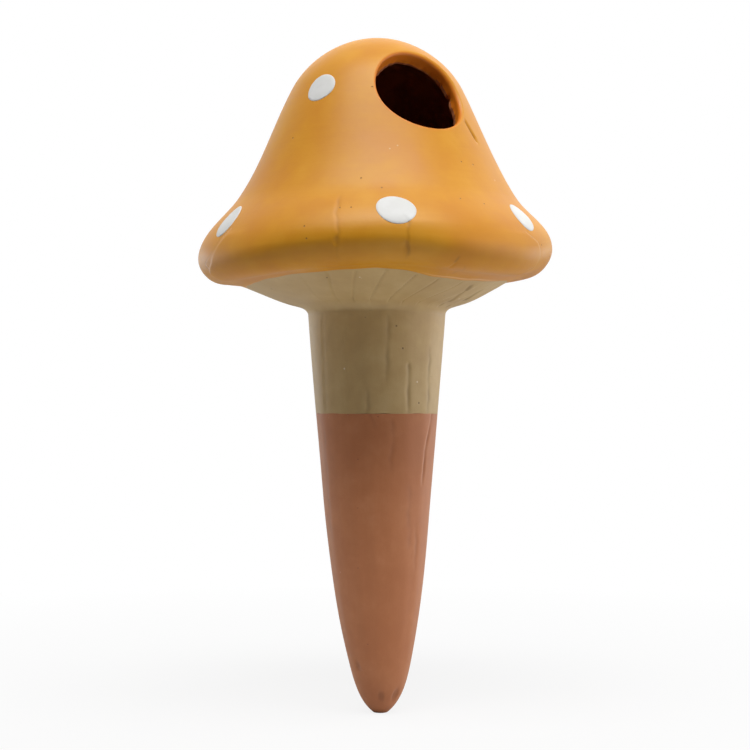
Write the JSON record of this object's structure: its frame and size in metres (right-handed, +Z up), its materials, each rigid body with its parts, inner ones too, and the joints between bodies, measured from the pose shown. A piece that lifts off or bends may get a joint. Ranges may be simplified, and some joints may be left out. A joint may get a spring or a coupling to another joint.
{
  "type": "ceramic plant waterer",
  "caption": "Mushroom-shaped hollow terracotta watering spike: a bell cap with a slanted fill hole feeds a tapered porous spike pushed into the soil.",
  "frame": {"origin": "on the centreline at the soil line, where the painted stem ends and the bare spike begins", "axes": "+Z up along the centreline towards the crown, front of the cap towards -Y, fill hole to the front right"},
  "size_m": [0.0936, 0.0936, 0.1795],
  "materials": {
    "ochre_paint": "satin ochre paint over fired terracotta",
    "khaki_paint": "matt khaki paint over fired terracotta",
    "bare_terracotta": "bare fired terracotta, dry and porous",
    "white_enamel": "raised white enamel"
  },
  "bodies": {
    "root": {"cap_shell": "ochre_paint", "gill_plate": "khaki_paint", "stem": "khaki_paint", "spike": "bare_terracotta", "brim_spot_front": "white_enamel", "brim_spot_right": "white_enamel", "brim_spot_rear_right": "white_enamel", "brim_spot_rear": "white_enamel", "brim_spot_rear_left": "white_enamel", "brim_spot_left": "white_enamel", "crown_spot_right": "white_enamel", "crown_spot_rear": "white_enamel", "crown_spot_left": "white_enamel", "crown_spot_front_left": "white_enamel"}
  },
  "joints": []
}
